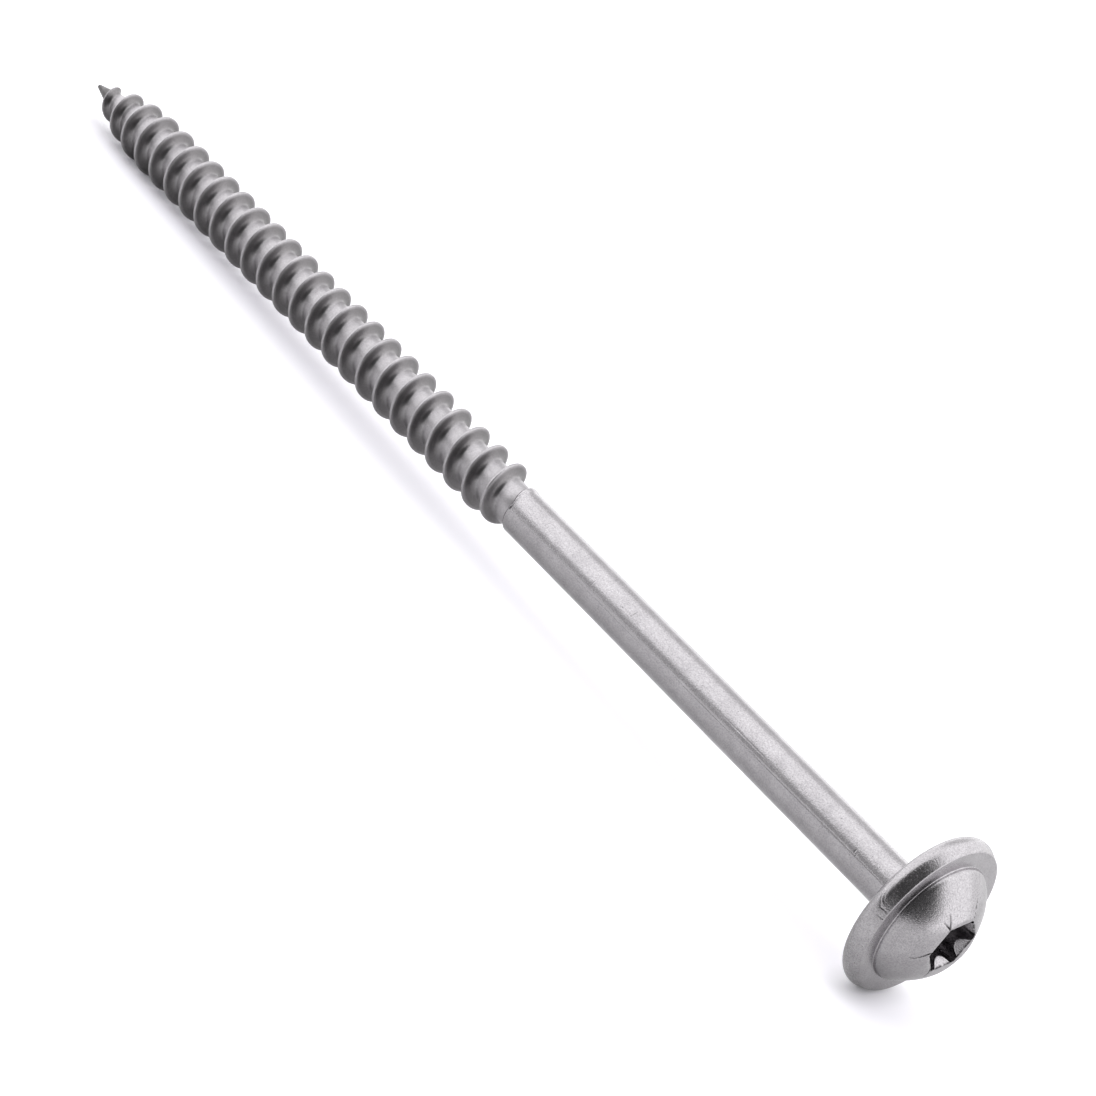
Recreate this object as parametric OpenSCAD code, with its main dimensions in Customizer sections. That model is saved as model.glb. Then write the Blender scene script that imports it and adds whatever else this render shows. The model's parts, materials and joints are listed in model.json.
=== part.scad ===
// Washer-head chipboard screw with a part thread and a hexalobular drive recess.
// It is one piece of steel that lies on the rim of its flange and on a crest near its point.
// The screw is drawn upright, with the bearing face of the head at zero, and is then laid down.

/* [Length] */
// From the bearing face under the head to the point
length = 160; // [120:1:200]
// Threaded part, from the point to the shoulder of the shank
thread_length = 93; // [60:0.2:100]

/* [Shank] */
// Diameter of the plain shank
shank_d = 5.6; // [5.4:0.05:6.2]
// Radius of the fillet between the shank and the bearing face
head_fillet = 0.6; // [0.2:0.05:1.2]
// How far the rolled edge at the lower end of the shank stands out
lip_height = 0.12; // [0.05:0.01:0.2]
// Length of the rolled edge, down to the shoulder
lip_length = 0.5; // [0.3:0.05:0.8]

/* [Thread] */
// Diameter over the crests
thread_d = 7.8; // [7:0.1:9]
// Diameter of the core between the ridges
core_d = 5.1; // [4.6:0.05:5.3]
// Distance from one crest to the next
pitch = 3.6; // [3.2:0.05:4.4]
// Width of the ridge at its crest
crest_width = 0.34; // [0.2:0.02:0.5]
// Width of the ridge at the top of its root fillets
flank_width = 0.84; // [0.6:0.02:1.1]
// Width of the ridge at its root
root_width = 2; // [1.4:0.05:2.6]
// Turns over which the ridge rises at the point and fades out at the shank
fade_turns = 0.35; // [0.25:0.05:1]
// Direction in which the ridge ends at the shank, counted from a lobe of the recess
thread_azimuth = 71.5; // [0:0.5:359.5]
// Distance from the shoulder of the shank to the middle of the ridge's end
thread_gap = 0.8; // [0.3:0.05:1.2]

/* [Point] */
// Length over which the core tapers to the point
point_length = 13; // [8:0.5:16]
// Length over which the crests grow to their full height
crest_taper = 18; // [12:1:28]
// Diameter of the blunt end of the point
point_d = 0.3; // [0.2:0.05:0.6]
// Distance from the point to the ridge's first rise
point_gap = 0.45; // [0.3:0.05:1]

/* [Head] */
// Diameter of the flange
head_d = 19.4; // [19.1:0.1:21.6]
// Thickness of the flange
flange_thickness = 2.6; // [2.2:0.1:3.2]
// Diameter of the front face of the flange, inside its bevel
face_d = 18.5; // [17:0.1:18.8]
// Radius of the rounded rim behind the bevel
rim_round = 1.2; // [0.8:0.05:1.4]
// Radius of the edge between the front face and the bevel
edge_round = 0.2; // [0.1:0.05:0.4]
// Diameter of the dome where it meets the front face
dome_d = 14.6; // [13:0.1:16]
// Height of the dome above the front face, before its flat and the recess are cut
dome_height = 4.2; // [3.9:0.1:5.2]
// Radius of the shoulder of the dome
shoulder_round = 1; // [0.6:0.1:2]
// Height of the step between the front face and the shoulder
dome_step = 0.25; // [0.1:0.05:0.6]
// Diameter of the flat on top of the dome, round the recess
flat_d = 6.6; // [6.2:0.1:7.4]

/* [Drive recess] */
// Diameter across the tips of the lobes
drive_tip_d = 6.75; // [6.2:0.05:7.2]
// Diameter across the ridges between the lobes
drive_root_d = 4.85; // [4.4:0.05:5.1]
// Radius of the lobe tips
lobe_round = 0.55; // [0.4:0.05:0.7]
// Depth of the straight walls, below the top of the dome
drive_depth = 4.2; // [3:0.1:5]
// Depth of the conical bottom below the straight walls
drive_cone = 0.9; // [0.4:0.1:1.4]
// Depth of the six-sided mouth, below its corners
mouth_depth = 1; // [0.6:0.1:1.4]
// Room between the lobe tips and the corners of the mouth
mouth_margin = 0.05; // [0.02:0.01:0.15]

/* [Lying] */
// Turn of the screw about its own axis as it lies
roll = -11.5; // [-180:0.5:180]

/* [Hidden] */

lobes = 6;
lobe_pitch = 360 / lobes;
arc_steps = 8;
crown_steps = 16;
lobe_steps = 5;
turn_steps = 24;
round_fn = 64;
overlap = 1;
undercut = 0.1;

shank_r = shank_d / 2;
core_r = core_d / 2;
crest_r = thread_d / 2;
point_r = point_d / 2;
head_r = head_d / 2;
dome_r = dome_d / 2;
flat_r = flat_d / 2;
tip_r = drive_tip_d / 2;
root_r = drive_root_d / 2;
neck_z = thread_length - length;
crown_z = flange_thickness + dome_height;

// Point on a circle in the plane of a section
function on_circle(centre, r, angle) = [centre[0] + r * cos(angle), centre[1] + r * sin(angle)];

// Points of an arc from one angle to another
function arc(centre, r, from, to, steps) =
    [for (i = [0 : steps]) on_circle(centre, r, from + (to - from) * i / steps)];

// Angle at which one straight line leaves circle a and meets circle b on their outer side
function touch_angle(a, ra, b, rb) =
    atan2(b[1] - a[1], b[0] - a[0]) - acos((ra - rb) / norm(b - a));

// Flange: a rounded rim, a bevel and a small edge at the front face
rim_centre = [head_r - rim_round, rim_round];
edge_centre = [face_d / 2 - edge_round, flange_thickness - edge_round];
bevel_angle = touch_angle(rim_centre, rim_round, edge_centre, edge_round);

// Dome: a flat, then a wide crown arc that runs into a shoulder arc, which ends upright on the step
shoulder_centre = [dome_r - shoulder_round, flange_thickness + dome_step];
shoulder_rise = dome_height - dome_step;
crown_round = (pow(shoulder_rise, 2) + pow(shoulder_centre[0], 2) - pow(shoulder_round, 2))
    / (2 * (shoulder_rise - shoulder_round));
crown_centre = [0, crown_z - crown_round];
shoulder_angle = atan2(shoulder_centre[1] - crown_centre[1], shoulder_centre[0]);

// Height of the crown at a distance from the axis
function crown_height(r) = crown_centre[1] + sqrt(pow(crown_round, 2) - pow(r, 2));

flat_z = crown_height(flat_r);
flat_angle = acos(flat_r / crown_round);

// Half of the section through head and shank, from the top of the dome to the shoulder
body_outline = concat(
    [[0, flat_z]],
    arc(crown_centre, crown_round, flat_angle, shoulder_angle, crown_steps),
    arc(shoulder_centre, shoulder_round, shoulder_angle, 0, arc_steps),
    [[dome_r, flange_thickness]],
    arc(edge_centre, edge_round, 90, bevel_angle, arc_steps / 2),
    arc(rim_centre, rim_round, bevel_angle, -90, arc_steps),
    arc([shank_r + head_fillet, -head_fillet], head_fillet, 90, 180, arc_steps),
    [
        [shank_r, neck_z + 2 * lip_length],
        [shank_r + lip_height, neck_z + lip_length],
        [shank_r, neck_z],
        [0, neck_z]
    ]
);

// The mouth is a six-sided funnel with its corners over the lobe tips
mouth_r = tip_r + mouth_margin;
mouth_z = min(flat_z, crown_height(tip_r));
mouth_slope = (mouth_r - root_r / cos(lobe_pitch / 2)) / mouth_depth;
function mouth_at(z) = mouth_r + mouth_slope * (z - mouth_z);

// Each ridge between two lobes is an arc that touches both lobe arcs
lobe_centre_r = tip_r - lobe_round;
ridge_arc = (pow(lobe_centre_r, 2) + pow(root_r, 2) - pow(lobe_round, 2)
    - 2 * lobe_centre_r * root_r * cos(lobe_pitch / 2))
    / (2 * (lobe_round - root_r + lobe_centre_r * cos(lobe_pitch / 2)));
ridge_centre_r = root_r + ridge_arc;
ridge_centre = ridge_centre_r * [cos(lobe_pitch / 2), sin(lobe_pitch / 2)];
lobe_turn = atan2(ridge_centre[1], ridge_centre[0] - lobe_centre_r);

// One lobe and the ridge after it, turned to their place round the recess
function lobe_outline(turn) =
    let (
        lobe = lobe_centre_r * [cos(turn), sin(turn)],
        ridge = ridge_centre_r * [cos(turn + lobe_pitch / 2), sin(turn + lobe_pitch / 2)],
        ridge_points = arc(ridge, ridge_arc, turn + lobe_turn + 180,
            turn + lobe_pitch - lobe_turn + 180, lobe_steps)
    )
    concat(
        arc(lobe, lobe_round, turn - lobe_turn, turn + lobe_turn, lobe_steps),
        [for (i = [1 : lobe_steps - 1]) ridge_points[i]]
    );

// Section of the thread's ridge: place along the axis, and share of the full height
ridge_section = [
    [0, 0],
    [(root_width - flank_width) / 2, 0.4],
    [(root_width - crest_width) / 2, 1],
    [(root_width + crest_width) / 2, 1],
    [(root_width + flank_width) / 2, 0.4],
    [root_width, 0]
];
across = len(ridge_section);

// The ridge climbs from the point to the shank in whole steps
last_z = neck_z - thread_gap - root_width / 2;
rows = floor((last_z + length - point_gap) * turn_steps / pitch);

// Radius of the core, and of the crests, at a distance from the point
function core_at(d) =
    point_r + (core_r - point_r) * (1 - pow(1 - min(d / point_length, 1), 1.5));
function crest_at(d) =
    point_r + (crest_r - point_r) * (1 - pow(1 - min(d / crest_taper, 1), 2.7));

// Share of its height that the ridge has some turns from its end
function fade(turns) = max(0, min(1, turns / fade_turns));

// Turns left to the ridge's end at the shank, and the direction and height there
function turns_left(i) = (rows - i) / turn_steps;
function step_azimuth(i) = thread_azimuth - 360 * turns_left(i);
function step_z(i) = last_z - pitch * turns_left(i);

function upright(r, azimuth, z) = [r * cos(azimuth), r * sin(azimuth), z];

// Point of the thread's surface, at a step up the helix and a step across the ridge
function thread_point(i, j) =
    let (
        z = step_z(i) + ridge_section[j][0],
        low = core_at(length + z),
        share = ridge_section[j][1] * fade(turns_left(i)) * fade(i / turn_steps)
    )
    upright(low + share * (crest_at(length + z) - low), step_azimuth(i), z);

// The steps of one more turn close the surface, because each turn's top edge is the next one's bottom
thread_points = concat(
    [for (i = [0 : rows]) for (j = [0 : across - 1]) thread_point(i, j)],
    [for (i = [rows + 1 : rows + turn_steps]) thread_point(i, 0)],
    [for (k = [0 : turn_steps - 1]) upright(point_r, step_azimuth(k), -length)],
    [for (k = [0 : turn_steps - 1]) upright(core_r, step_azimuth(rows + k), neck_z + overlap + pitch)]
);

// Numbers of the points: on the helix, on the ring at the point and on the ring inside the shank
function on_helix(i, j) =
    j == across ? on_helix(i + turn_steps, 0)
    : i > rows ? (rows + 1) * across + i - rows - 1
    : i * across + j;
ring_start = (rows + 1) * across + turn_steps;
function point_ring(k) = ring_start + k % turn_steps;
function neck_ring(k) = ring_start + turn_steps + k % turn_steps;

// Two triangles on four corners, given clockwise as seen from outside
function quad(a, b, c, d) = [[a, b, c], [a, c, d]];

thread_faces = concat(
    [for (i = [0 : rows - 1]) for (j = [0 : across - 1])
        each quad(on_helix(i, j), on_helix(i, j + 1), on_helix(i + 1, j + 1), on_helix(i + 1, j))],
    [for (k = [0 : turn_steps - 2])
        each quad(point_ring(k), on_helix(k, 0), on_helix(k + 1, 0), point_ring(k + 1))],
    [[point_ring(turn_steps - 1), on_helix(turn_steps - 1, 0), on_helix(0, across)]],
    [for (j = [0 : across - 1]) [point_ring(turn_steps - 1), on_helix(0, j + 1), on_helix(0, j)]],
    [[point_ring(turn_steps - 1), on_helix(0, 0), point_ring(0)]],
    [for (j = [0 : across - 1]) [on_helix(rows + 1, 0), on_helix(rows, j), on_helix(rows, j + 1)]],
    [[on_helix(rows + 1, 0), on_helix(rows, across), neck_ring(0)]],
    [[on_helix(rows + 1, 0), neck_ring(0), neck_ring(1)]],
    [for (k = [1 : turn_steps - 1])
        each quad(on_helix(rows + k, 0), neck_ring(k), neck_ring(k + 1), on_helix(rows + k + 1, 0))],
    [[for (k = [0 : turn_steps - 1]) point_ring(k)]],
    [[for (k = [0 : turn_steps - 1]) neck_ring(turn_steps - 1 - k)]]
);

// The screw touches the floor with its rim and with the crest that comes down first.
// These are the edges of the crests that point down, and the tilt that each would allow.
down_turns = (thread_azimuth + roll) / 360;
down_crests = [
    for (k = [ceil(-down_turns) : floor(rows / turn_steps - down_turns)])
        for (side = [-1, 1])
            last_z + (root_width + side * crest_width) / 2 - pitch * (down_turns + k)
];
function tilt_on(z) =
    let (fall = head_r - rim_round - crest_at(length + z), reach = rim_round - z)
    acos(-rim_round / norm([fall, reach])) - atan2(reach, fall);
tilt = min([for (z = down_crests) tilt_on(z)]);
rest_height = (head_r - rim_round) * cos(tilt) - rim_round * sin(tilt) + rim_round;

// Ends of the lying screw: the upper edge of the dome's flat and the point
head_end = flat_z * cos(tilt) + flat_r * sin(tilt);
point_end = -length * cos(tilt) - point_r * sin(tilt);
middle = (head_end + point_end) / 2;

module recess() {
    floor_z = crown_z - drive_depth;
    mouth_low = mouth_z - mouth_depth - undercut;
    translate([0, 0, floor_z])
        linear_extrude(height = drive_depth + overlap)
            polygon([for (k = [0 : lobes - 1]) each lobe_outline(k * lobe_pitch)]);
    translate([0, 0, floor_z - drive_cone])
        cylinder(
            h = drive_cone + undercut,
            r1 = 0,
            r2 = (root_r - undercut) * (drive_cone + undercut) / drive_cone,
            $fn = round_fn
        );
    translate([0, 0, mouth_low])
        cylinder(
            h = crown_z + overlap - mouth_low,
            r1 = mouth_at(mouth_low),
            r2 = mouth_at(crown_z + overlap),
            $fn = lobes
        );
}

module head_and_shank() {
    difference() {
        rotate_extrude($fn = round_fn) polygon(body_outline);
        recess();
    }
}

module thread() {
    polyhedron(points = thread_points, faces = thread_faces, convexity = 10);
}

module screw() {
    color([0.66, 0.64, 0.65])
        translate([-middle, 0, rest_height])
            rotate([0, 90 - tilt, 0])
                rotate([0, 0, roll]) {
                    head_and_shank();
                    thread();
                }
}

screw();
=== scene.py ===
import json
import math

import bpy
import numpy as np
from mathutils import Matrix, Vector


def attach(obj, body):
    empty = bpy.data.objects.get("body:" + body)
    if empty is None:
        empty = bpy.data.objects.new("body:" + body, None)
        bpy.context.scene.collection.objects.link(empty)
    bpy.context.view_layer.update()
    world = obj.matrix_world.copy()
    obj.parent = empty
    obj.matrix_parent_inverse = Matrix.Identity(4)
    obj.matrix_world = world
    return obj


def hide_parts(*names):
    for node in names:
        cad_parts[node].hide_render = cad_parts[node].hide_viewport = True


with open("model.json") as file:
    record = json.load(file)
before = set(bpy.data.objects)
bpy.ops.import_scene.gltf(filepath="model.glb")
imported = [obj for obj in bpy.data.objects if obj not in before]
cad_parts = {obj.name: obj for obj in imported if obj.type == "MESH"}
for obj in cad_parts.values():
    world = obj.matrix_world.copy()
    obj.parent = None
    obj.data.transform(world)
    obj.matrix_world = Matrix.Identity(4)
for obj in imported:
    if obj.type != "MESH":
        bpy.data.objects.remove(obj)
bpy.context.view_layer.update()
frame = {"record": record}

# Sizes are in millimetres, for the screw standing upright with its bearing face at zero.
# Directions round its axis are in degrees, counted from the side it lies on.
MM = 0.001
SKIN = 0.015  # how far each surface is drawn in, so that the model stays in the CAD box

LENGTH = 160.0
SHANK_R = 2.8
HEAD_FILLET = 0.6

THREAD_R = 3.9
CORE_R = 2.55
PITCH = 3.6
CREST_HALF = 0.17
FLANK_HALF = 0.42
FLANK_FOOT = 0.4  # share of the ridge's height at the top of its root fillets
FOOT_POWER = 2.2
CREST_FALL = 0.03  # share of the ridge's height by which its crest is rounded
ROOT_HALF = 1.0
THREAD_END = -67.8  # middle of the ridge where it ends
THREAD_END_AZIMUTH = 60.0
FADE_TURNS = 0.35
CREST_TAPER = 18.0  # length over which the crests rise from the point
CREST_POWER = 2.7
POINT_LENGTH = 13.0  # length over which the core does
CORE_POWER = 1.5
POINT_R = 0.26
POINT_GAP = 0.3  # from the tip to the start of the helix
TIP_ROUND = 0.1
TURN_STEPS = 72
FLANK_SHADE = 0.72  # the hollows beside the crests are darker
TIP_SHADE = (5.5, 2.5)  # and so is the point: distances from the tip at which that starts and is full

HEAD_R = 9.7
FLANGE = 2.6
FACE_R = 9.25
RIM_ROUND = 1.2
EDGE_ROUND = 0.2
DOME_R = 7.3
DOME_HEIGHT = 4.2
FLAT_R = 3.3
DOME_STEP = 0.12
DOME_ROOT_ROUND = 0.1
FLAT_SOFTNESS = 0.03  # of the edge between the dome's arc and its flat
SHOULDER_ROUND = 1.0
# The dome stands higher beyond the recess: by how much, where, and how far aside that starts to fade and ends
FAR_BULGE = (0.28, 40.0, 22.0, 80.0)
BULGE_FULL_R = 4.0

LOBES = 6
LOBE_AZIMUTH = -11.5
LOBE_TIP_R = 3.27
LOBE_ROOT_R = 2.37
LOBE_ROUND = 0.54
DRIVE_DEPTH = 4.2
DRIVE_CONE = 0.9
MOUTH_R = 3.31
MOUTH_DEPTH = 1.0
MOUTH_ROUND = 0.09  # reach of the rounding at both edges of the mouth's funnel
LEAST_FUNNEL = (0.015, 0.04)  # least width and height of the funnel
OFF_CENTRE = (0.18, 236.0)  # the recess sits this far off the axis, in this direction
OFF_CENTRE_FADE = (6.4, 3.4)  # radii between which the dome goes over to that

# Directions at which the head's mesh is cut, closer together at its cracks and folds
HEAD_AZIMUTHS = np.concatenate([
    np.arange(0, 212, 1.0), np.arange(212, 267.9, 0.35), np.arange(268, 300, 0.5), np.arange(300, 360, 0.75)
])
SHANK_SEGMENTS = 240
SHANK_HEIGHTS = (-0.35, -65.4, -0.45)  # of its first and last plain ring, and the step between them
CLOSE_REACH = 0.4  # rings are closer together this far from a mark
CLOSE_STEP = 0.05

# The lower end of the shank follows the helix on one side, and is rolled out to a lip on the other
LIP_HEIGHT = 0.13
LIP_AZIMUTH = 172.0
LIP_REACH = (75.0, 20.0)  # angles aside at which the lip starts and is full
LIP_LENGTH = 0.6
LIP_PLACE = 0.4  # height of the lip above the end of the shank
END_SINK = 0.1  # the rounded end goes this far into the core
SHANK_END = [  # as (direction, height)
    (170, -67.3), (187, -67.1), (205, -67.0), (221, -66.8), (239, -66.45), (250, -66.35), (256, -66.5),
    (262, -66.35), (276, -66.4), (307, -66.35), (360, -66.7), (420, -67.1), (530, -67.3),
]
# Pits, dents and long scratches of the shank: direction, height, half-length round it, half-length along it,
# depth
SHANK_MARKS = [
    (220.8, -10.86, 0.07, 0.06, 0.05),
    (249.3, -7.2, 0.13, 0.05, 0.055),
    (254.5, -6.85, 0.16, 0.05, 0.04),
    (222.0, -44.9, 0.5, 0.08, 0.035),
    (214.0, -44.2, 0.25, 0.14, 0.025),
    (240.0, -51.3, 0.5, 0.04, 0.02),
    (279.5, -60.5, 0.1, 0.1, 0.045),
    (256.5, -66.1, 0.2, 0.12, 0.06),
    (256.0, -9.0, 0.035, 5.5, 0.03),
    (258.5, -19.0, 0.035, 7.0, 0.035),
    (261.0, -31.0, 0.035, 6.0, 0.028),
    (264.0, -47.0, 0.035, 8.0, 0.03),
    (272.0, -56.0, 0.035, 5.0, 0.028),
    (246.0, -25.0, 0.03, 4.0, 0.022),
    (282.0, -40.0, 0.03, 6.0, 0.025),
]
# Painted shade in the crease along the lower end of the shank: direction, height, half-length round it,
# half-length along it, share of the crack colour
NECK_SHADE = [
    (257.0, -65.98, 0.24, 0.14, 0.9),
    (247.0, -65.98, 0.4, 0.1, 0.65),
    (235.0, -66.12, 0.45, 0.1, 0.55),
    (222.0, -66.35, 0.45, 0.09, 0.45),
]

# Cracks that forging left at the corners of the recess
DOME_CRACKS = [  # as (radius, direction)
    [(3.15, 230.5), (3.58, 227.6), (4.25, 222.9), (4.8, 221.0)],
    [(3.5, 228.8), (4.42, 232.4)],
    [(3.3, 284.0), (3.5, 284.9), (4.13, 291.4), (4.65, 294.3), (5.21, 293.5)],
    [(3.2, 341.0), (3.47, 344.8), (3.91, 349.0), (4.5, 353.0)],
]
CRACK_HALF = 0.07  # half-width
CRACK_DEPTH = 0.14
# Dark specks of the dome: radius, direction, half-size, share of the crack colour
DOME_SPECKS = [
    (3.66, 169.3, 0.12, 0.9), (3.85, 166.0, 0.07, 0.6), (4.06, 170.7, 0.11, 0.7), (4.55, 171.5, 0.13, 0.8),
    (4.75, 172.2, 0.1, 0.7), (5.05, 171.9, 0.12, 0.8), (5.3, 172.5, 0.08, 0.5), (5.58, 217.7, 0.07, 0.8),
    (4.74, 206.1, 0.06, 0.6), (4.2, 206.0, 0.06, 0.5), (5.0, 262.0, 0.06, 0.4), (5.6, 281.0, 0.06, 0.4),
]
# Painted shade of a burr line along the edge of the mouth, on its far side: first and last direction,
# half-width
MOUTH_BURR_SHADE = (300.0, 525.0, 0.15)
# Folds in the rim
RIM_FOLDS = [  # as (height, direction)
    [(0.81, 241.9), (0.81, 248.0), (0.89, 251.2), (1.09, 254.8), (1.59, 258.4), (2.2, 261.5), (2.48, 263.8)],
    [(0.92, 246.1), (1.16, 251.8), (1.53, 255.1)],
]
FOLD_HALF = 0.05  # half-width
FOLD_DEPTH = 0.045
RECESS_SHADE = (0.2, 1.6)  # depths in the recess at which its walls start to darken and are darkest
WORN_R = (9.0, 9.3)  # radii at which the worn rim starts and is full
WORN_Z = (0.0, 0.4)  # and heights

# Sizes and colours of the steel's fine pattern, from large to small
CLOUD_SIZE = 2.2
MARK_SIZE = 0.3
SPECK_SIZE = 0.16
BUMP_HEIGHT = 0.04
CLOUD_COLOURS = ((0.475, 0.459, 0.478, 1), (0.54, 0.522, 0.543, 1))
MARK_COLOUR = (0.3, 0.288, 0.3, 1)
SPECK_COLOUR = (0.12, 0.112, 0.12, 1)
PORE_COLOUR = (0.08, 0.076, 0.08, 1)
SHADE_COLOUR = (0.1, 0.095, 0.095, 1)
CRACK_AND_SHADE_COLOUR = (0.03, 0.028, 0.03, 1)
WORN_ROUGHNESS = 0.05  # added on the worn rim
WORN_GRAIN = 0.75

CAMERA_PLACE = Vector((0.17838, -0.24005, 0.12406))
CAMERA_AZIMUTH = 124.032  # of the direction in which it looks, from +X
CAMERA_ELEVATION = -22.105
CAMERA_ROLL = 33.5
CAMERA_LENS = 91.73


def on_circle(centre, radius, degrees):
    t = np.radians(degrees)
    return np.stack([centre[0] + radius * np.cos(t), centre[1] + radius * np.sin(t)], -1)


def arc(centre, radius, start, end, steps):
    return on_circle(centre, radius, np.linspace(start, end, steps + 1))


def line(a, b, steps):
    t = np.linspace(0, 1, steps + 1)[:, None]
    return (1 - t) * np.array(a) + t * np.array(b)


def ramp(x, low, high):
    t = np.clip((x - low) / (high - low), 0, 1)
    return t * t * (3 - 2 * t)


def distance_to_path(points, path):
    """Least distance from each point to a polyline, in the plane."""
    best = np.full(points.shape[:-1], 1e9)
    for a, b in zip(path[:-1], path[1:]):
        step = b - a
        t = np.clip(((points - a) @ step) / (step @ step), 0, 1)
        best = np.minimum(best, np.linalg.norm(points - a - t[..., None] * step, axis=-1))
    return best


# The body: dome, flange and shank as rings round the axis

SHOULDER_CENTRE = np.array([DOME_R - SHOULDER_ROUND, FLANGE + DOME_STEP])
SHOULDER_RISE = DOME_HEIGHT - DOME_STEP
CROWN_ROUND = (SHOULDER_RISE**2 + SHOULDER_CENTRE[0] ** 2 - SHOULDER_ROUND**2) / (
    2 * (SHOULDER_RISE - SHOULDER_ROUND)
)
CROWN_CENTRE = np.array([0, FLANGE + DOME_HEIGHT - CROWN_ROUND])
SHOULDER_ANGLE = math.degrees(math.atan2(SHOULDER_CENTRE[1] - CROWN_CENTRE[1], SHOULDER_CENTRE[0]))
CROWN_END_R = CROWN_ROUND * math.cos(math.radians(SHOULDER_ANGLE))


def crown(radius, azimuth=None):
    """Height of the dome: its arc, cut off by the flat with a soft edge."""
    height = CROWN_CENTRE[1] + np.sqrt(CROWN_ROUND**2 - radius**2)
    if azimuth is not None:
        bulge, middle, start, end = FAR_BULGE
        aside = np.abs((azimuth - middle + 180) % 360 - 180)
        height = height + bulge * ramp(aside, end, start) * ramp(radius, CROWN_END_R, BULGE_FULL_R)
    flat = CROWN_CENTRE[1] + math.sqrt(CROWN_ROUND**2 - FLAT_R**2)
    return (height + flat - np.sqrt((height - flat) ** 2 + FLAT_SOFTNESS**2)) / 2


MOUTH_Z = crown(LOBE_TIP_R)
HALF_LOBE = 180 / LOBES
MOUTH_SLOPE = (MOUTH_R - LOBE_ROOT_R / math.cos(math.radians(HALF_LOBE))) / MOUTH_DEPTH


def from_ridge(azimuth):
    """Angle from the middle of the nearest ridge of the recess, in degrees."""
    return (azimuth - LOBE_AZIMUTH) % (2 * HALF_LOBE) - HALF_LOBE


def funnel_radius(azimuth, z):
    side = math.cos(math.radians(HALF_LOBE)) / np.cos(np.radians(from_ridge(azimuth)))
    return (MOUTH_R + MOUTH_SLOPE * (z - MOUTH_Z)) * side


def lobed_radius(azimuth):
    """Outline of the drive recess: lobe arcs joined by ridge arcs that touch them."""
    lobe_centre = LOBE_TIP_R - LOBE_ROUND
    half = math.radians(HALF_LOBE)
    ridge_round = (
        lobe_centre**2 + LOBE_ROOT_R**2 - LOBE_ROUND**2 - 2 * lobe_centre * LOBE_ROOT_R * math.cos(half)
    ) / (2 * (LOBE_ROUND - LOBE_ROOT_R + lobe_centre * math.cos(half)))
    ridge_centre = LOBE_ROOT_R + ridge_round
    turn = math.atan2(ridge_centre * math.sin(half), ridge_centre * math.cos(half) - lobe_centre)
    joint = math.atan2(LOBE_ROUND * math.sin(turn), lobe_centre + LOBE_ROUND * math.cos(turn))
    ridge_angle = np.abs(np.radians(from_ridge(azimuth)))
    lobe_angle = half - ridge_angle
    lobe = lobe_centre * np.cos(lobe_angle) + np.sqrt(
        np.maximum(LOBE_ROUND**2 - (lobe_centre * np.sin(lobe_angle)) ** 2, 0)
    )
    ridge = ridge_centre * np.cos(ridge_angle) - np.sqrt(
        np.maximum(ridge_round**2 - (ridge_centre * np.sin(ridge_angle)) ** 2, 0)
    )
    return np.where(lobe_angle <= joint, lobe, ridge)


def mouth_edge(azimuth):
    """Radius and height of the edge between the funnel and the crown."""
    edge_z = np.full(len(azimuth), MOUTH_Z)
    for _ in range(20):
        edge_z = crown(funnel_radius(azimuth, edge_z), azimuth)
    edge = np.maximum(funnel_radius(azimuth, edge_z), lobed_radius(azimuth) + LEAST_FUNNEL[0])
    return edge, crown(edge, azimuth)


def recess_rings(azimuth):
    """Rings of the recess and the dome round it, from the middle of its bottom outward."""
    wall = lobed_radius(azimuth)
    floor_z = FLANGE + DOME_HEIGHT - DRIVE_DEPTH
    rings = []
    for share in np.linspace(0, 1, 9):
        radius = share * wall
        rings.append((radius, floor_z - DRIVE_CONE * np.maximum(0, 1 - radius / LOBE_ROOT_R)))
    edge, edge_z = mouth_edge(azimuth)
    wall_top = MOUTH_Z + (wall / funnel_radius(azimuth, MOUTH_Z) - 1) * MOUTH_R / MOUTH_SLOPE
    wall_top = np.minimum(wall_top, edge_z - LEAST_FUNNEL[1])
    funnel_length = np.hypot(edge - wall, edge_z - wall_top)
    blend = np.minimum(MOUTH_ROUND, 0.45 * funnel_length)
    toward_edge = np.stack([edge - wall, edge_z - wall_top]) / funnel_length
    for share in (0.125, 0.25, 0.375, 0.5, 0.625, 0.75, 0.875, 0.94, 0.97, 1.0):
        rings.append((wall, floor_z + share * (wall_top - blend - floor_z)))
    corner = np.stack([wall, wall_top])
    rings += curve(corner - blend * np.array([[0], [1]]), corner, corner + blend * toward_edge, 4)
    edge_point = np.stack([edge, edge_z])
    last = edge_point - blend * toward_edge
    first = corner + blend * toward_edge
    for share in (0.33, 0.67, 1.0):
        rings.append(tuple(first + share * (last - first)))
    outer = edge + blend
    rings += curve(last, edge_point, np.stack([outer, crown(outer, azimuth)]), 5)
    for share in np.linspace(0, 1, 27)[1:]:
        radius = outer + (CROWN_END_R - outer) * share**1.25
        rings.append((radius, crown(radius, azimuth)))
    return rings


def curve(a, b, c, steps):
    """Rings of a rounded edge from a to c, with its corner at b."""
    return [
        tuple((1 - t) ** 2 * a + 2 * t * (1 - t) * b + t**2 * c) for t in np.linspace(0, 1, steps + 1)[1:]
    ]


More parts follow.
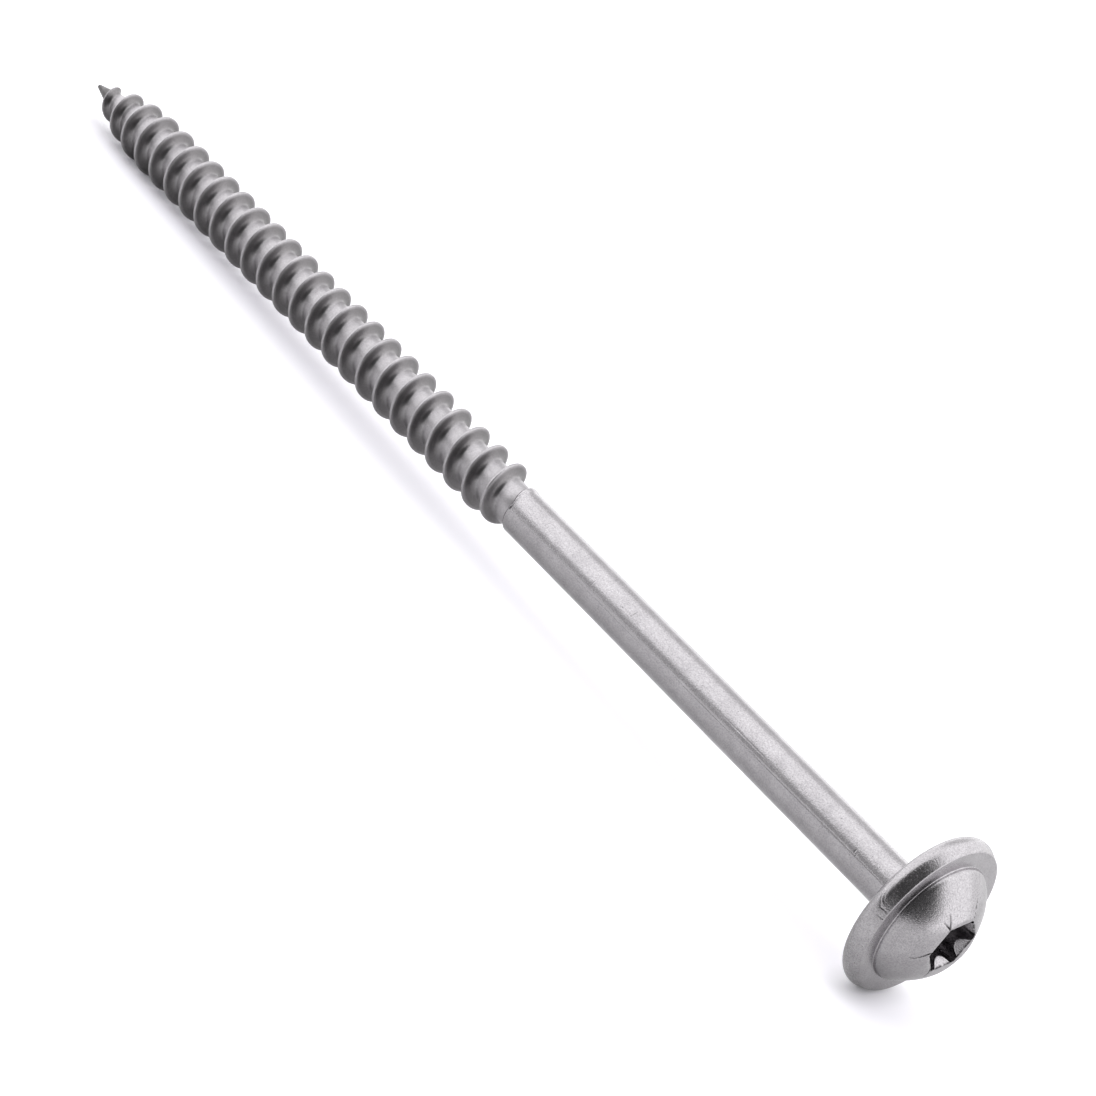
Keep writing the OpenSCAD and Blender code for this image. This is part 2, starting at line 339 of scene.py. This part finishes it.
def flange_outline():
    """Half section from the shoulder of the dome to the start of the shank."""
    rim_centre = np.array([HEAD_R - RIM_ROUND, RIM_ROUND])
    edge_centre = np.array([FACE_R - EDGE_ROUND, FLANGE - EDGE_ROUND])
    between = edge_centre - rim_centre
    bevel = math.degrees(
        math.atan2(between[1], between[0]) - math.acos((RIM_ROUND - EDGE_ROUND) / np.linalg.norm(between))
    )
    foot = (DOME_R + DOME_ROOT_ROUND, FLANGE + DOME_ROOT_ROUND)
    fillet_centre = (SHANK_R + HEAD_FILLET, -HEAD_FILLET)
    return np.concatenate([
        arc(SHOULDER_CENTRE, SHOULDER_ROUND, SHOULDER_ANGLE, 0, 16)[1:],
        arc(foot, DOME_ROOT_ROUND, 180, 270, 4),
        line((foot[0], FLANGE), (edge_centre[0], FLANGE), 10)[1:],
        arc(edge_centre, EDGE_ROUND, 90, bevel, 5)[1:],
        arc(rim_centre, RIM_ROUND, bevel, -90, 26),
        line((rim_centre[0], 0), (fillet_centre[0], 0), 8)[1:],
        arc(fillet_centre, HEAD_FILLET, 90, 180, 8)[1:],
    ])


def shank_rings(azimuth):
    """Rings of the shank, from inside the fillet down to its lip and round its lower edge."""
    places, heights = np.array(SHANK_END).T
    end = np.interp((azimuth - places[0]) % 360 + places[0], places, heights)
    end = np.convolve(np.concatenate([end[-2:], end, end[:2]]), np.ones(5) / 5, "valid")
    lip_z = end + LIP_PLACE
    heights = np.arange(*SHANK_HEIGHTS)
    close = [
        np.arange(height + CLOSE_REACH, height - CLOSE_REACH, -CLOSE_STEP)
        for _, height, _, half_along, _ in SHANK_MARKS
        if half_along < 1 and height > SHANK_HEIGHTS[1] + CLOSE_REACH
    ]
    heights = np.unique(np.round(np.concatenate([heights] + close), 2))[::-1]
    lip = LIP_HEIGHT * ramp(np.abs((azimuth - LIP_AZIMUTH + 180) % 360 - 180), *LIP_REACH)
    rings = []
    for z in heights:
        rings.append((np.full(len(azimuth), SHANK_R), np.full(len(azimuth), z)))
    for share in np.linspace(0, 1, 15)[1:]:
        z = heights[-1] + share * (lip_z - heights[-1])
        rings.append((SHANK_R + lip * ramp(z - lip_z, LIP_LENGTH, 0.0), z))
    lip_r = SHANK_R + lip
    for degrees in np.linspace(0, 90, 9)[1:]:
        t = math.radians(degrees)
        radius = lip_r - (lip_r - CORE_R + END_SINK) * (1 - math.cos(t))
        rings.append((radius, lip_z - LIP_PLACE * math.sin(t)))
    rings.append((np.zeros(len(azimuth)), end))
    return rings


def head_dents_and_shade(azimuth, radius, z, edge, edge_z):
    """Depth of the dome's cracks and the rim's folds; darkness of the specks and the burr's painted shade."""
    flat = np.stack([radius * np.cos(np.radians(azimuth)), radius * np.sin(np.radians(azimuth))], -1)
    depth = np.zeros(radius.shape)
    dark = np.zeros(radius.shape)
    on_dome = (z > FLANGE + DOME_STEP) & (radius > edge)
    for path in DOME_CRACKS:
        route = np.array([on_circle((0, 0), r, a) for r, a in path])
        along = ramp(radius, path[-1][0], path[0][0])
        groove = np.exp(-((distance_to_path(flat, route) / CRACK_HALF) ** 2))
        depth += CRACK_DEPTH * np.where(on_dome, groove * (0.4 + 0.6 * along), 0)
    # The burr line is painted shade only, with no relief of its own
    first, last, half = MOUTH_BURR_SHADE
    turn = (azimuth - first) % 360
    uneven = 0.75 + 0.25 * np.sin(np.radians(azimuth * 13)) + 0.2 * np.sin(np.radians(azimuth * 31 + 50))
    reach = ramp(turn, 0, 6) * ramp(turn, last - first, last - first - 10)
    dark += np.exp(-((radius - edge) ** 2 + (z - edge_z) ** 2) / half**2) * np.clip(uneven, 0, 1) * reach
    for place, direction, half, share in DOME_SPECKS:
        away = np.linalg.norm(flat - on_circle((0, 0), place, direction), axis=-1)
        dark += np.where(on_dome, share * np.exp(-((away / half) ** 2)), 0)
    unrolled = np.stack([z, HEAD_R * np.radians(azimuth % 360)], -1)
    on_rim = radius > FACE_R - EDGE_ROUND
    for fold in RIM_FOLDS:
        route = np.array([(h, HEAD_R * math.radians(a)) for h, a in fold])
        groove = np.exp(-((distance_to_path(unrolled, route) / FOLD_HALF) ** 2))
        depth += FOLD_DEPTH * np.where(on_rim, groove, 0)
    return np.minimum(depth, CRACK_DEPTH), dark


def head_points():
    azimuth = HEAD_AZIMUTHS
    rings = recess_rings(azimuth)
    rings += [(np.full(len(azimuth), r), np.full(len(azimuth), z)) for r, z in flange_outline()]
    radius = np.array([r for r, z in rings])
    z = np.array([z for r, z in rings])
    edge, edge_z = mouth_edge(azimuth)
    depth, dark = head_dents_and_shade(np.broadcast_to(azimuth, radius.shape), radius, z, edge, edge_z)
    # Painted shade in the recess: darker deeper down, and uneven round it in streaks
    shade_streaks = 0.6 + 0.4 * np.sin(np.radians(azimuth * 43)) * np.sin(np.radians(azimuth * 29 + 70))
    shade = np.where(radius < edge, ramp(MOUTH_Z - z, *RECESS_SHADE) * shade_streaks, 0)
    # Below zero it marks the worn rim, which is rougher, in flecks
    flecks = np.sin(np.radians(azimuth * 47) + 3 * z) * np.sin(np.radians(azimuth * 71) - 7 * z + 1)
    shade = shade - ramp(radius, *WORN_R) * ramp(z, *WORN_Z) * (0.55 + 0.45 * flecks)
    turn = np.radians(azimuth)
    flat = np.stack([radius * np.cos(turn), radius * np.sin(turn)], -1)
    aside = on_circle((0, 0), *OFF_CENTRE) * ramp(radius, *OFF_CENTRE_FADE)[..., None]
    flat = flat + np.where((z > 0)[..., None], aside, 0)
    return np.concatenate([flat, z[..., None]], -1), depth, dark, shade


def shank_points():
    azimuth = np.arange(SHANK_SEGMENTS) * 360 / SHANK_SEGMENTS
    rings = shank_rings(azimuth)
    radius = np.array([r for r, z in rings])
    z = np.array([z for r, z in rings])
    depth = np.zeros(radius.shape)
    dark = np.zeros(radius.shape)
    # Real marks go into the depth, and the neck's painted shade into the dark values
    for marks_and_shade, total in ((SHANK_MARKS, depth), (NECK_SHADE, dark)):
        for place, height, half_round, half_along, amount in marks_and_shade:
            aside = SHANK_R * np.radians((azimuth - place + 180) % 360 - 180)
            total += amount * np.exp(-((aside / half_round) ** 2) - ((z - height) / half_along) ** 2)
    turn = np.radians(azimuth)
    return np.stack([radius * np.cos(turn), radius * np.sin(turn), z], -1), depth, dark


# The thread: a strip that winds from the point to the shank


def core_radius(from_point):
    return POINT_R + (CORE_R - POINT_R) * (1 - (1 - np.clip(from_point / POINT_LENGTH, 0, 1)) ** CORE_POWER)


def crest_radius(from_point):
    return POINT_R + (THREAD_R - POINT_R) * (1 - (1 - np.clip(from_point / CREST_TAPER, 0, 1)) ** CREST_POWER)


def ridge_height(place):
    """Share of the ridge's height at a distance from its middle."""
    side = np.abs(place)
    flank = FLANK_FOOT + (1 - FLANK_FOOT) * (FLANK_HALF - side) / (FLANK_HALF - CREST_HALF)
    foot = FLANK_FOOT * (1 - np.clip((side - FLANK_HALF) / (ROOT_HALF - FLANK_HALF), 0, 1)) ** FOOT_POWER
    crest = 1 - CREST_FALL * (side / CREST_HALF) ** 4
    flank = np.minimum(flank, 1 - CREST_FALL)
    return np.where(side <= CREST_HALF, crest, np.where(side <= FLANK_HALF, flank, foot))


def thread_strip():
    half_section = np.array([
        0, 0.12, CREST_HALF, 0.21, 0.3, FLANK_HALF, 0.52, 0.64, 0.8, ROOT_HALF, 1.3, 1.6
    ])
    places = np.concatenate([[-PITCH / 2], -half_section[:0:-1], half_section])
    last_z = THREAD_END - PITCH / 2
    steps = int((last_z + LENGTH - POINT_GAP) * TURN_STEPS / PITCH)
    step = np.arange(steps + TURN_STEPS + 1)
    turns_left = (steps - step) / TURN_STEPS
    azimuth = np.radians(THREAD_END_AZIMUTH - 360 * turns_left)[:, None]
    z = last_z - PITCH * turns_left[:, None] + (places + PITCH / 2)
    fade = np.clip(turns_left / FADE_TURNS, 0, 1) * np.clip(step / TURN_STEPS / FADE_TURNS, 0, 1)
    low = core_radius(LENGTH + z)
    radius = low + ridge_height(places) * fade[:, None] * (crest_radius(LENGTH + z) - low)
    side = np.abs(places)
    shade = FLANK_SHADE * ramp(side, CREST_HALF, 0.26) * ramp(side, 1.2, 0.6)
    shade = np.maximum(shade, ramp(z, TIP_SHADE[0] - LENGTH, TIP_SHADE[1] - LENGTH))
    points = np.stack([radius * np.cos(azimuth), radius * np.sin(azimuth), z], -1)
    return points, np.broadcast_to(shade, radius.shape), azimuth[:, 0], steps


# Meshes

bearing = next(m for m in frame["record"]["mounts"] if m["name"] == "bearing_face")
out_of_head = -Vector(bearing["axis"]).normalized()
across = Vector((0, 1, 0))
down = across.cross(out_of_head)
LYING = Matrix((down, across, out_of_head)).transposed().to_4x4()
LYING.translation = Vector(bearing["pos_m"])


def make_piece(name, points, quads, triangles, material, depth, dark, shade):
    """One mesh, moved inward by the skin and its dents, with both its attributes for the material."""
    mesh = bpy.data.meshes.new(name)
    faces = [tuple(f) for f in quads] + [tuple(f) for f in triangles]
    mesh.from_pydata([tuple(p * MM) for p in points], [], faces)
    normals = np.empty(len(points) * 3)
    mesh.vertex_normals.foreach_get("vector", normals)
    inward = (SKIN + depth)[:, None]
    mesh.vertices.foreach_set("co", ((points - normals.reshape(-1, 3) * inward) * MM).ravel())
    mesh.materials.append(material)
    mesh.polygons.foreach_set("use_smooth", np.ones(len(faces), bool))
    # Both attributes carry painted shade: dents in its dark values, and shade where it is above zero
    for label, values in (("dents", depth / CRACK_DEPTH + dark), ("shade", shade)):
        mesh.attributes.new(label, "FLOAT", "POINT").data.foreach_set("value", values)
    mesh.transform(LYING)
    mesh.update()
    piece = bpy.data.objects.new(name, mesh)
    bpy.context.collection.objects.link(piece)
    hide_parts("screw")
    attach(piece, "root")
    return piece


def turned_piece(name, points, values, material, tip_first, tip_last):
    """A piece from rings of points round the axis; a tip is a ring that comes together on the axis."""
    count, around = points.shape[:2]
    number = np.arange(count * around).reshape(count, around)
    first, last = (1 if tip_first else 0), (count - 1 if tip_last else count)
    nearer, farther = number[first : last - 1], number[first + 1 : last]
    quads = np.stack([nearer, farther, np.roll(farther, -1, 1), np.roll(nearer, -1, 1)], -1).reshape(-1, 4)
    triangles = np.zeros((0, 3), int)
    used = [number[first:last].ravel()]
    if tip_first:
        ring = number[1]
        triangles = np.stack([np.full(around, number[0][0]), ring, np.roll(ring, -1)], -1)
        used.insert(0, [number[0][0]])
    if tip_last:
        ring = number[-2]
        fan = np.stack([np.full(around, number[-1][0]), np.roll(ring, -1), ring], -1)
        triangles = np.concatenate([triangles, fan])
        used.append([number[-1][0]])
    used = np.concatenate(used)
    renumber = np.zeros(count * around, int)
    renumber[used] = np.arange(len(used))
    points = points.reshape(-1, 3)[used]
    values = [value.ravel()[used] for value in values]
    return make_piece(name, points, renumber[quads], renumber[triangles], material, *values)


def build_head(material):
    points, depth, dark, shade = head_points()
    return turned_piece("head", points, (depth, dark, shade), material, True, False)


def build_shank(material):
    points, depth, dark = shank_points()
    return turned_piece("shank", points, (depth, dark, np.zeros(depth.shape)), material, False, True)


def level_ring(angles, radius, z):
    return np.stack([radius * np.cos(angles), radius * np.sin(angles), np.full(len(angles), z)], -1)


def build_thread(material):
    """The helix, closed by a fan at the point and one inside the shank."""
    strip, strip_shade, azimuth, steps = thread_strip()
    width = strip.shape[1]
    turn = TURN_STEPS
    helix = strip[: steps + 1].reshape(-1, 3)
    upper = strip[steps + 1 :, 0]
    tip_ring = level_ring(azimuth[:turn], POINT_R, -LENGTH + TIP_ROUND)
    neck_ring = level_ring(azimuth[steps : steps + turn], CORE_R, SHANK_END[0][1] + 1.5 * PITCH)
    points = np.concatenate([helix, upper, tip_ring, neck_ring, [[0, 0, -LENGTH], [0, 0, neck_ring[0][2]]]])
    shade = np.zeros(len(points))
    shade[: len(helix)] = strip_shade[: steps + 1].ravel()
    start = len(helix) + len(upper)
    apex, neck = len(points) - 2, len(points) - 1
    shade[start : start + turn] = shade[apex] = 1

    def on_helix(i, j):
        if j == width:
            i, j = i + turn, 0
        return i * width + j if i <= steps else len(helix) + i - steps - 1

    def tip(k):
        return start + k % turn

    def inner(k):
        return start + turn + k % turn

    quads, triangles = [], []
    for i in range(steps):
        for j in range(width):
            quads.append((on_helix(i, j), on_helix(i + 1, j), on_helix(i + 1, j + 1), on_helix(i, j + 1)))
    for k in range(turn - 1):
        quads.append((tip(k), tip(k + 1), on_helix(k + 1, 0), on_helix(k, 0)))
    triangles.append((tip(turn - 1), on_helix(0, width), on_helix(turn - 1, 0)))
    triangles += [(tip(turn - 1), on_helix(0, j), on_helix(0, j + 1)) for j in range(width)]
    triangles.append((tip(turn - 1), tip(0), on_helix(0, 0)))
    for k in range(1, turn):
        quads.append((on_helix(steps + k, 0), on_helix(steps + k + 1, 0), inner(k + 1), inner(k)))
    first = on_helix(steps + 1, 0)
    triangles += [(first, on_helix(steps, j + 1), on_helix(steps, j)) for j in range(width)]
    triangles.append((first, inner(0), on_helix(steps, width)))
    triangles.append((first, inner(1), inner(0)))
    triangles += [(apex, tip(k + 1), tip(k)) for k in range(turn)]
    triangles += [(neck, inner(k), inner(k + 1)) for k in range(turn)]
    smooth = np.zeros(len(points))
    return make_piece("thread", points, quads, triangles, material, smooth, smooth, shade)


# Materials


def steel(name, stretch, grain, speckled, roughness, shaded, seed):
    """Bare satin steel: clouds, marks stretched one way, specks, pores, dark cracks, painted shade in
    hollows.
    """
    material = bpy.data.materials.new(name)
    material.use_nodes = True
    nodes, links = material.node_tree.nodes, material.node_tree.links
    shader = nodes["Principled BSDF"]
    shader.inputs["Metallic"].default_value = 1.0

    def noise(size_mm, detail, scale=(1, 1, 1), shift=0.0):
        mapping = nodes.new("ShaderNodeMapping")
        mapping.inputs["Scale"].default_value = scale
        mapping.inputs["Location"].default_value = (seed + shift, seed - shift, shift)
        texture = nodes.new("ShaderNodeTexNoise")
        texture.inputs["Scale"].default_value = 1 / (size_mm * MM)
        texture.inputs["Detail"].default_value = detail
        links.new(coordinates.outputs["Object"], mapping.inputs["Vector"])
        links.new(mapping.outputs["Vector"], texture.inputs["Vector"])
        return texture.outputs["Fac"]

    def attribute(label):
        node = nodes.new("ShaderNodeAttribute")
        node.attribute_name = label
        return node.outputs["Fac"]

    def remap(value, low, high, to_low, to_high):
        node = nodes.new("ShaderNodeMapRange")
        for socket, number in zip(node.inputs[1:5], (low, high, to_low, to_high)):
            socket.default_value = number
        links.new(value, node.inputs[0])
        return node.outputs[0]

    def mix(factor, a, b):
        node = nodes.new("ShaderNodeMix")
        node.data_type = "RGBA"
        for socket, value in ((node.inputs[0], factor), (node.inputs[6], a), (node.inputs[7], b)):
            if isinstance(value, bpy.types.NodeSocket):
                links.new(value, socket)
            else:
                socket.default_value = value
        return node.outputs[2]

    coordinates = nodes.new("ShaderNodeTexCoord")
    clouds = noise(CLOUD_SIZE, 4, shift=0.3)
    marks = noise(MARK_SIZE, 4, stretch, shift=0.7)
    speckle = noise(SPECK_SIZE, 2, shift=0.9)
    pores = noise(SPECK_SIZE, 2, shift=1.1)

    tone = mix(remap(clouds, 0.35, 0.65, 0, 1), *CLOUD_COLOURS)
    tone = mix(remap(marks, 0.3, 0.7, 0.2, 0), tone, MARK_COLOUR)
    tone = mix(remap(speckle, 0.3, 0.7, speckled, 0), tone, SPECK_COLOUR)
    tone = mix(remap(pores, 0.71, 0.78, 0, 0.75), tone, PORE_COLOUR)
    tone = mix(remap(attribute("shade"), 0, 1, 0, shaded), tone, SHADE_COLOUR)
    # Cracks, folds, pits and specks, and the painted shade at the neck and along the burr, take this colour
    tone = mix(remap(attribute("dents"), 0.15, 0.8, 0, 0.93), tone, CRACK_AND_SHADE_COLOUR)
    links.new(tone, shader.inputs["Base Color"])
    rough = nodes.new("ShaderNodeMath")
    links.new(remap(marks, 0.25, 0.75, roughness + 0.05, roughness - 0.04), rough.inputs[0])
    links.new(remap(attribute("shade"), -1, 0, WORN_ROUGHNESS, 0), rough.inputs[1])
    links.new(rough.outputs[0], shader.inputs["Roughness"])

    relief = nodes.new("ShaderNodeMath")
    relief.operation = "MULTIPLY_ADD"
    links.new(remap(pores, 0.68, 0.78, 0, -1), relief.inputs[0])
    relief.inputs[1].default_value = 0.6
    links.new(speckle, relief.inputs[2])
    bump = nodes.new("ShaderNodeBump")
    links.new(remap(attribute("shade"), -1, 0, WORN_GRAIN, grain), bump.inputs["Strength"])
    bump.inputs["Distance"].default_value = BUMP_HEIGHT * MM
    links.new(relief.outputs[0], bump.inputs["Height"])
    links.new(bump.outputs["Normal"], shader.inputs["Normal"])
    return material


build_head(steel(
    "steel_head", stretch=(1, 1, 1), grain=0.33, speckled=0.42, roughness=0.23, shaded=0.45, seed=3.0
))
build_shank(steel(
    "steel_shank", stretch=(0.25, 1, 1), grain=0.4, speckled=0.36, roughness=0.21, shaded=0.0, seed=5.0
))
build_thread(steel(
    "steel_thread", stretch=(1, 1, 1), grain=0.15, speckled=0.25, roughness=0.36, shaded=0.92, seed=8.0
))


# Floor, light and camera

FLOOR_SIZE = 6.0
FLOOR_COLOUR = 0.79
# Emission that makes the lit floor plain white where it is seen, and in the metal, and keeps the shadow
FLOOR_LIFT = 0.46
FLOOR_LIFT_REFLECTED = 0.05
CONTACT_SHADOW_REACH = 2.5  # reach, in millimetres, of the painted contact shadow in the floor's glow
CONTACT_TINT = (0.92, 0.89, 1, 1)
LIGHT_LEVEL = 1.75
# Darker parts of the studio, the first of which is its unlit side behind the camera: azimuth, elevation,
# angles within which each is full and beyond which it ends, and the share of the light that is missing there
UNLIT = [
    (-56.0, 30.0, 40.0, 56.0, 0.95),
    (128.0, 36.0, 12.0, 25.0, 0.42),
    (-114.0, 8.0, 9.0, 25.0, 0.66),
    (76.0, 6.0, 10.0, 28.0, 0.3),
]

floor_mesh = bpy.data.meshes.new("floor")
half = FLOOR_SIZE / 2
corners = [(-half, -half, 0), (half, -half, 0), (half, half, 0), (-half, half, 0)]
floor_mesh.from_pydata(corners, [], [(0, 1, 2, 3)])
floor = bpy.data.objects.new("floor", floor_mesh)
bpy.context.collection.objects.link(floor)
pale = bpy.data.materials.new("pale_floor")
pale.use_nodes = True
nodes, links = pale.node_tree.nodes, pale.node_tree.links
paint = nodes["Principled BSDF"]
paint.inputs["Base Color"].default_value = (FLOOR_COLOUR, FLOOR_COLOUR, FLOOR_COLOUR, 1)
paint.inputs["Roughness"].default_value = 1.0
paint.inputs["Specular IOR Level"].default_value = 0.0
seen = nodes.new("ShaderNodeLightPath")
lifts = []
for rays, strength in (
    ("Is Camera Ray", FLOOR_LIFT),
    ("Is Glossy Ray", FLOOR_LIFT_REFLECTED),
    ("Is Transmission Ray", FLOOR_LIFT_REFLECTED),
):
    share = nodes.new("ShaderNodeMath")
    share.operation = "MULTIPLY"
    share.inputs[1].default_value = strength
    links.new(seen.outputs[rays], share.inputs[0])
    lifts.append(share)
lift = lifts[0]
for share in lifts[1:]:
    total = nodes.new("ShaderNodeMath")
    links.new(lift.outputs[0], total.inputs[0])
    links.new(share.outputs[0], total.inputs[1])
    lift = total
# Painted contact shadow: the floor's tinted glow is dimmed where the screw is near
painted_contact_shadow = nodes.new("ShaderNodeAmbientOcclusion")
painted_contact_shadow.samples = 4
painted_contact_shadow.inputs["Distance"].default_value = CONTACT_SHADOW_REACH * MM
painted_contact_shadow.inputs["Color"].default_value = CONTACT_TINT
links.new(painted_contact_shadow.outputs["Color"], paint.inputs["Emission Color"])
links.new(lift.outputs[0], paint.inputs["Emission Strength"])
floor_mesh.materials.append(pale)

world = bpy.data.worlds.new("studio")
bpy.context.scene.world = world
world.use_nodes = True
nodes, links = world.node_tree.nodes, world.node_tree.links
light = nodes["Background"]
direction = nodes.new("ShaderNodeTexCoord")
strength = None
for azimuth, elevation, start, end, missing in UNLIT:
    azimuth, elevation = math.radians(azimuth), math.radians(elevation)
    toward = nodes.new("ShaderNodeVectorMath")
    toward.operation = "DOT_PRODUCT"
    toward.inputs[1].default_value = (
        math.cos(azimuth) * math.cos(elevation),
        math.sin(azimuth) * math.cos(elevation),
        math.sin(elevation),
    )
    links.new(direction.outputs["Generated"], toward.inputs[0])
    level = nodes.new("ShaderNodeMapRange")
    level.interpolation_type = "SMOOTHSTEP"
    for socket, number in zip(
        level.inputs[1:5], (math.cos(math.radians(end)), math.cos(math.radians(start)), 1, 1 - missing)
    ):
        socket.default_value = number
    links.new(toward.outputs["Value"], level.inputs[0])
    product = nodes.new("ShaderNodeMath")
    product.operation = "MULTIPLY"
    product.inputs[1].default_value = LIGHT_LEVEL
    if strength is not None:
        links.new(strength, product.inputs[1])
    links.new(level.outputs[0], product.inputs[0])
    strength = product.outputs[0]
links.new(strength, light.inputs["Strength"])
light.inputs["Color"].default_value = (1, 1, 1, 1)

camera_data = bpy.data.cameras.new("camera")
camera_data.lens = CAMERA_LENS
camera_data.sensor_width = 36
camera = bpy.data.objects.new("camera", camera_data)
bpy.context.collection.objects.link(camera)
azimuth, elevation, roll = (math.radians(a) for a in (CAMERA_AZIMUTH, CAMERA_ELEVATION, CAMERA_ROLL))
look = Vector((
    math.cos(azimuth) * math.cos(elevation),
    math.sin(azimuth) * math.cos(elevation),
    math.sin(elevation),
))
level_right = look.cross(Vector((0, 0, 1))).normalized()
level_up = level_right.cross(look)
right = math.cos(roll) * level_right + math.sin(roll) * level_up
up = math.cos(roll) * level_up - math.sin(roll) * level_right
camera.matrix_world = Matrix.Translation(CAMERA_PLACE) @ Matrix((right, up, -look)).transposed().to_4x4()
bpy.context.scene.camera = camera
bpy.context.scene.view_settings.view_transform = "Standard"
